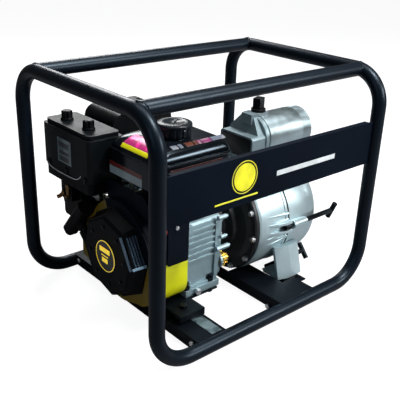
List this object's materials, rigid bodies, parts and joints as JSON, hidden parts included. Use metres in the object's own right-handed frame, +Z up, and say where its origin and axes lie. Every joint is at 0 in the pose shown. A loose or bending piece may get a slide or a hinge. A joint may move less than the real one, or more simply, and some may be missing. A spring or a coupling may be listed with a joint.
{
  "type": "gas engine trash pump",
  "caption": "Petrol engine and centrifugal trash pump on rubber mounts in a tubular carrying frame, with a side panel, recoil starter, fuel tank and hinge-free clamped pump cover.",
  "frame": {"origin": "on the ground, under the middle of the tubular frame", "axes": "+X along the crankshaft from the recoil starter to the pump ports, +Y away from the side panel, +Z up"},
  "size_m": [0.555, 0.44, 0.455],
  "materials": {
    "frame_paint": "semi-gloss black powder coat",
    "panel_paint": "semi-gloss black powder coat",
    "bracket_paint": "satin black paint",
    "mount_rubber": "matt black rubber",
    "zinc_fastener": "bright zinc plate",
    "black_steel": "black oxide",
    "block_casting": "as-cast silver paint",
    "cover_casting": "as-cast silver paint",
    "head_casting": "as-cast",
    "rocker_paint": "black paint on pressed steel",
    "plug_ceramic": "glazed ceramic and plated steel",
    "boot_rubber": "soft black rubber",
    "machined_steel": "machined steel",
    "rod_alloy": "as-cast",
    "piston_alloy": "turned",
    "flywheel_alloy": "as-cast with steel insert",
    "blower_yellow": "gloss yellow paint",
    "recoil_black": "moulded black",
    "reel_plastic": "moulded grey",
    "rope_cord": "braided cord",
    "grip_rubber": "soft moulded black",
    "tank_paint": "gloss black enamel on pressed steel",
    "cap_plastic": "moulded black",
    "airbox_base": "moulded black",
    "airbox_cover": "moulded black",
    "filter_foam": "oiled foam",
    "knob_plastic": "moulded black",
    "carb_alloy": "die cast",
    "lever_brass": "dull yellow plate",
    "lever_zinc": "zinc plate",
    "muffler_steel": "heat-proof black on steel",
    "guard_paint": "heat-proof black",
    "switch_plastic": "moulded black",
    "switch_red": "moulded dark red",
    "oil_cap_gold": "bright yellow plate",
    "adapter_paint": "dark grey paint on casting",
    "pump_silver": "silver paint on casting",
    "pump_front_silver": "silver paint on casting",
    "seal_rubber": "black rubber",
    "cast_iron_parts": "as-cast",
    "seal_steel": "lapped faces",
    "elbow_casting": "silver paint on casting",
    "pipe_casting": "machined and painted",
    "plug_black": "moulded black"
  },
  "bodies": {
    "pump_set": {"tube_frame": "frame_paint", "sign_panel": "panel_paint", "engine_channel": "bracket_paint", "pump_channel": "bracket_paint", "engine_brackets": "bracket_paint", "pump_brackets": "bracket_paint", "rubber_mounts": "mount_rubber", "mount_bolts": "zinc_fastener", "case_bolts": "zinc_fastener", "drain_plugs": "zinc_fastener", "clamp_nuts": "black_steel", "crankcase": "block_casting", "crankcase_cover": "cover_casting", "cylinder_head": "head_casting", "rocker_cover": "rocker_paint", "spark_plug": "plug_ceramic", "plug_cap": "boot_rubber", "main_bearings": "machined_steel", "connecting_rod": "rod_alloy", "piston": "piston_alloy", "blower_housing": "blower_yellow", "recoil_cover": "recoil_black", "starter_rope": "rope_cord", "fuel_tank": "tank_paint", "air_cleaner_base": "airbox_base", "air_cleaner_cover": "airbox_cover", "air_filter": "filter_foam", "carburettor": "carb_alloy", "muffler": "muffler_steel", "muffler_guard": "guard_paint", "switch_box": "switch_plastic", "pump_adapter": "adapter_paint", "pump_casing": "pump_silver", "cover_gasket": "seal_rubber", "volute": "cast_iron_parts", "mechanical_seal": "seal_steel", "discharge_elbow": "elbow_casting", "discharge_pipe": "pipe_casting"},
    "crank": {"crankshaft": "machined_steel", "rod_big_end": "rod_alloy", "flywheel": "flywheel_alloy", "impeller": "cast_iron_parts"},
    "cam": {"camshaft": "machined_steel"},
    "reel": {"recoil_reel": "reel_plastic"},
    "grip": {"starter_grip": "grip_rubber"},
    "tank_cap": {"fuel_cap": "cap_plastic"},
    "choke": {"choke_lever": "lever_brass"},
    "fuel_valve": {"fuel_lever": "lever_brass"},
    "throttle": {"throttle_lever": "lever_zinc"},
    "switch": {"switch_knob": "switch_red"},
    "oil_cap": {"oil_filler_cap": "oil_cap_gold"},
    "plug": {"prime_plug": "plug_black"},
    "knob_near": {"cleaner_knob_near": "knob_plastic"},
    "knob_far": {"cleaner_knob_far": "knob_plastic"},
    "cover": {"front_cover": "pump_front_silver"},
    "flap": {"suction_flap": "seal_rubber"},
    "handle_near": {"t_handle_near": "black_steel"},
    "handle_low_near": {"t_handle_low_near": "black_steel"},
    "handle_far": {"t_handle_far": "black_steel"},
    "handle_low_far": {"t_handle_low_far": "black_steel"}
  },
  "joints": [
    {"name": "crank_spin", "type": "hinge", "parent": "pump_set", "child": "crank", "pos_m": [0, -0.008, 0.131], "axis": [1, 0, 0], "continuous": true},
    {"name": "cam_spin", "type": "hinge", "parent": "pump_set", "child": "cam", "pos_m": [-0.07, 0.02671, 0.08963], "axis": [1, 0, 0], "continuous": true},
    {"name": "starter_pull", "type": "slide", "parent": "pump_set", "child": "grip", "axis": [-0.7, 0.5, 0.51], "range_m": [0, 0.6]},
    {"name": "reel_spin", "type": "hinge", "parent": "pump_set", "child": "reel", "pos_m": [-0.213, -0.008, 0.131], "axis": [1, 0, 0], "range_deg": [0, 600]},
    {"name": "fuel_cap_turn", "type": "hinge", "parent": "pump_set", "child": "tank_cap", "pos_m": [-0.11, -0.05, 0.35], "axis": [0, 0, 1], "range_deg": [0, 90]},
    {"name": "choke_turn", "type": "hinge", "parent": "pump_set", "child": "choke", "pos_m": [-0.2245, 0.128, 0.218], "axis": [-1, 0, 0], "range_deg": [0, 60]},
    {"name": "fuel_valve_turn", "type": "hinge", "parent": "pump_set", "child": "fuel_valve", "pos_m": [-0.2245, 0.146, 0.202], "axis": [1, 0, 0], "range_deg": [0, 35]},
    {"name": "throttle_turn", "type": "hinge", "parent": "pump_set", "child": "throttle", "pos_m": [-0.195, 0.07, 0.212], "axis": [-1, 0, 0], "range_deg": [0, 50]},
    {"name": "switch_turn", "type": "hinge", "parent": "pump_set", "child": "switch", "pos_m": [-0.18, -0.114, 0.206], "axis": [1, 0, 0], "range_deg": [0, 45]},
    {"name": "oil_cap_turn", "type": "hinge", "parent": "pump_set", "child": "oil_cap", "pos_m": [-0.018, -0.08, 0.086], "axis": [1, 0, 0], "continuous": true},
    {"name": "prime_plug_turn", "type": "hinge", "parent": "pump_set", "child": "plug", "pos_m": [0.145, -0.004, 0.341], "axis": [0, 0, 1], "continuous": true},
    {"name": "knob_near_turn", "type": "hinge", "parent": "pump_set", "child": "knob_near", "pos_m": [-0.2, 0.084, 0.341], "axis": [0, 0, 1], "continuous": true},
    {"name": "knob_far_turn", "type": "hinge", "parent": "pump_set", "child": "knob_far", "pos_m": [-0.2, 0.16, 0.341], "axis": [0, 0, 1], "continuous": true},
    {"name": "cover_slide", "type": "slide", "parent": "pump_set", "child": "cover", "axis": [1, 0, 0], "range_m": [0, 0.12]},
    {"name": "flap_swing", "type": "hinge", "parent": "cover", "child": "flap", "pos_m": [0.222, -0.008, 0.197], "axis": [0, 1, 0], "range_deg": [0, 60]},
    {"name": "handle_near_turn", "type": "hinge", "parent": "cover", "child": "handle_near", "pos_m": [0.178, -0.127, 0.134], "axis": [1, 0, 0], "continuous": true},
    {"name": "handle_low_near_turn", "type": "hinge", "parent": "cover", "child": "handle_low_near", "pos_m": [0.201, -0.082, 0.026], "axis": [1, 0, 0], "continuous": true},
    {"name": "handle_far_turn", "type": "hinge", "parent": "cover", "child": "handle_far", "pos_m": [0.178, 0.111, 0.134], "axis": [1, 0, 0], "continuous": true},
    {"name": "handle_low_far_turn", "type": "hinge", "parent": "cover", "child": "handle_low_far", "pos_m": [0.201, 0.066, 0.026], "axis": [1, 0, 0], "continuous": true}
  ],
  "couplings": [
    {"joint": "cam_spin", "follows": "crank_spin", "ratio": -0.5},
    {"joint": "reel_spin", "follows": "starter_pull", "rad_per_m": 16.949}
  ]
}
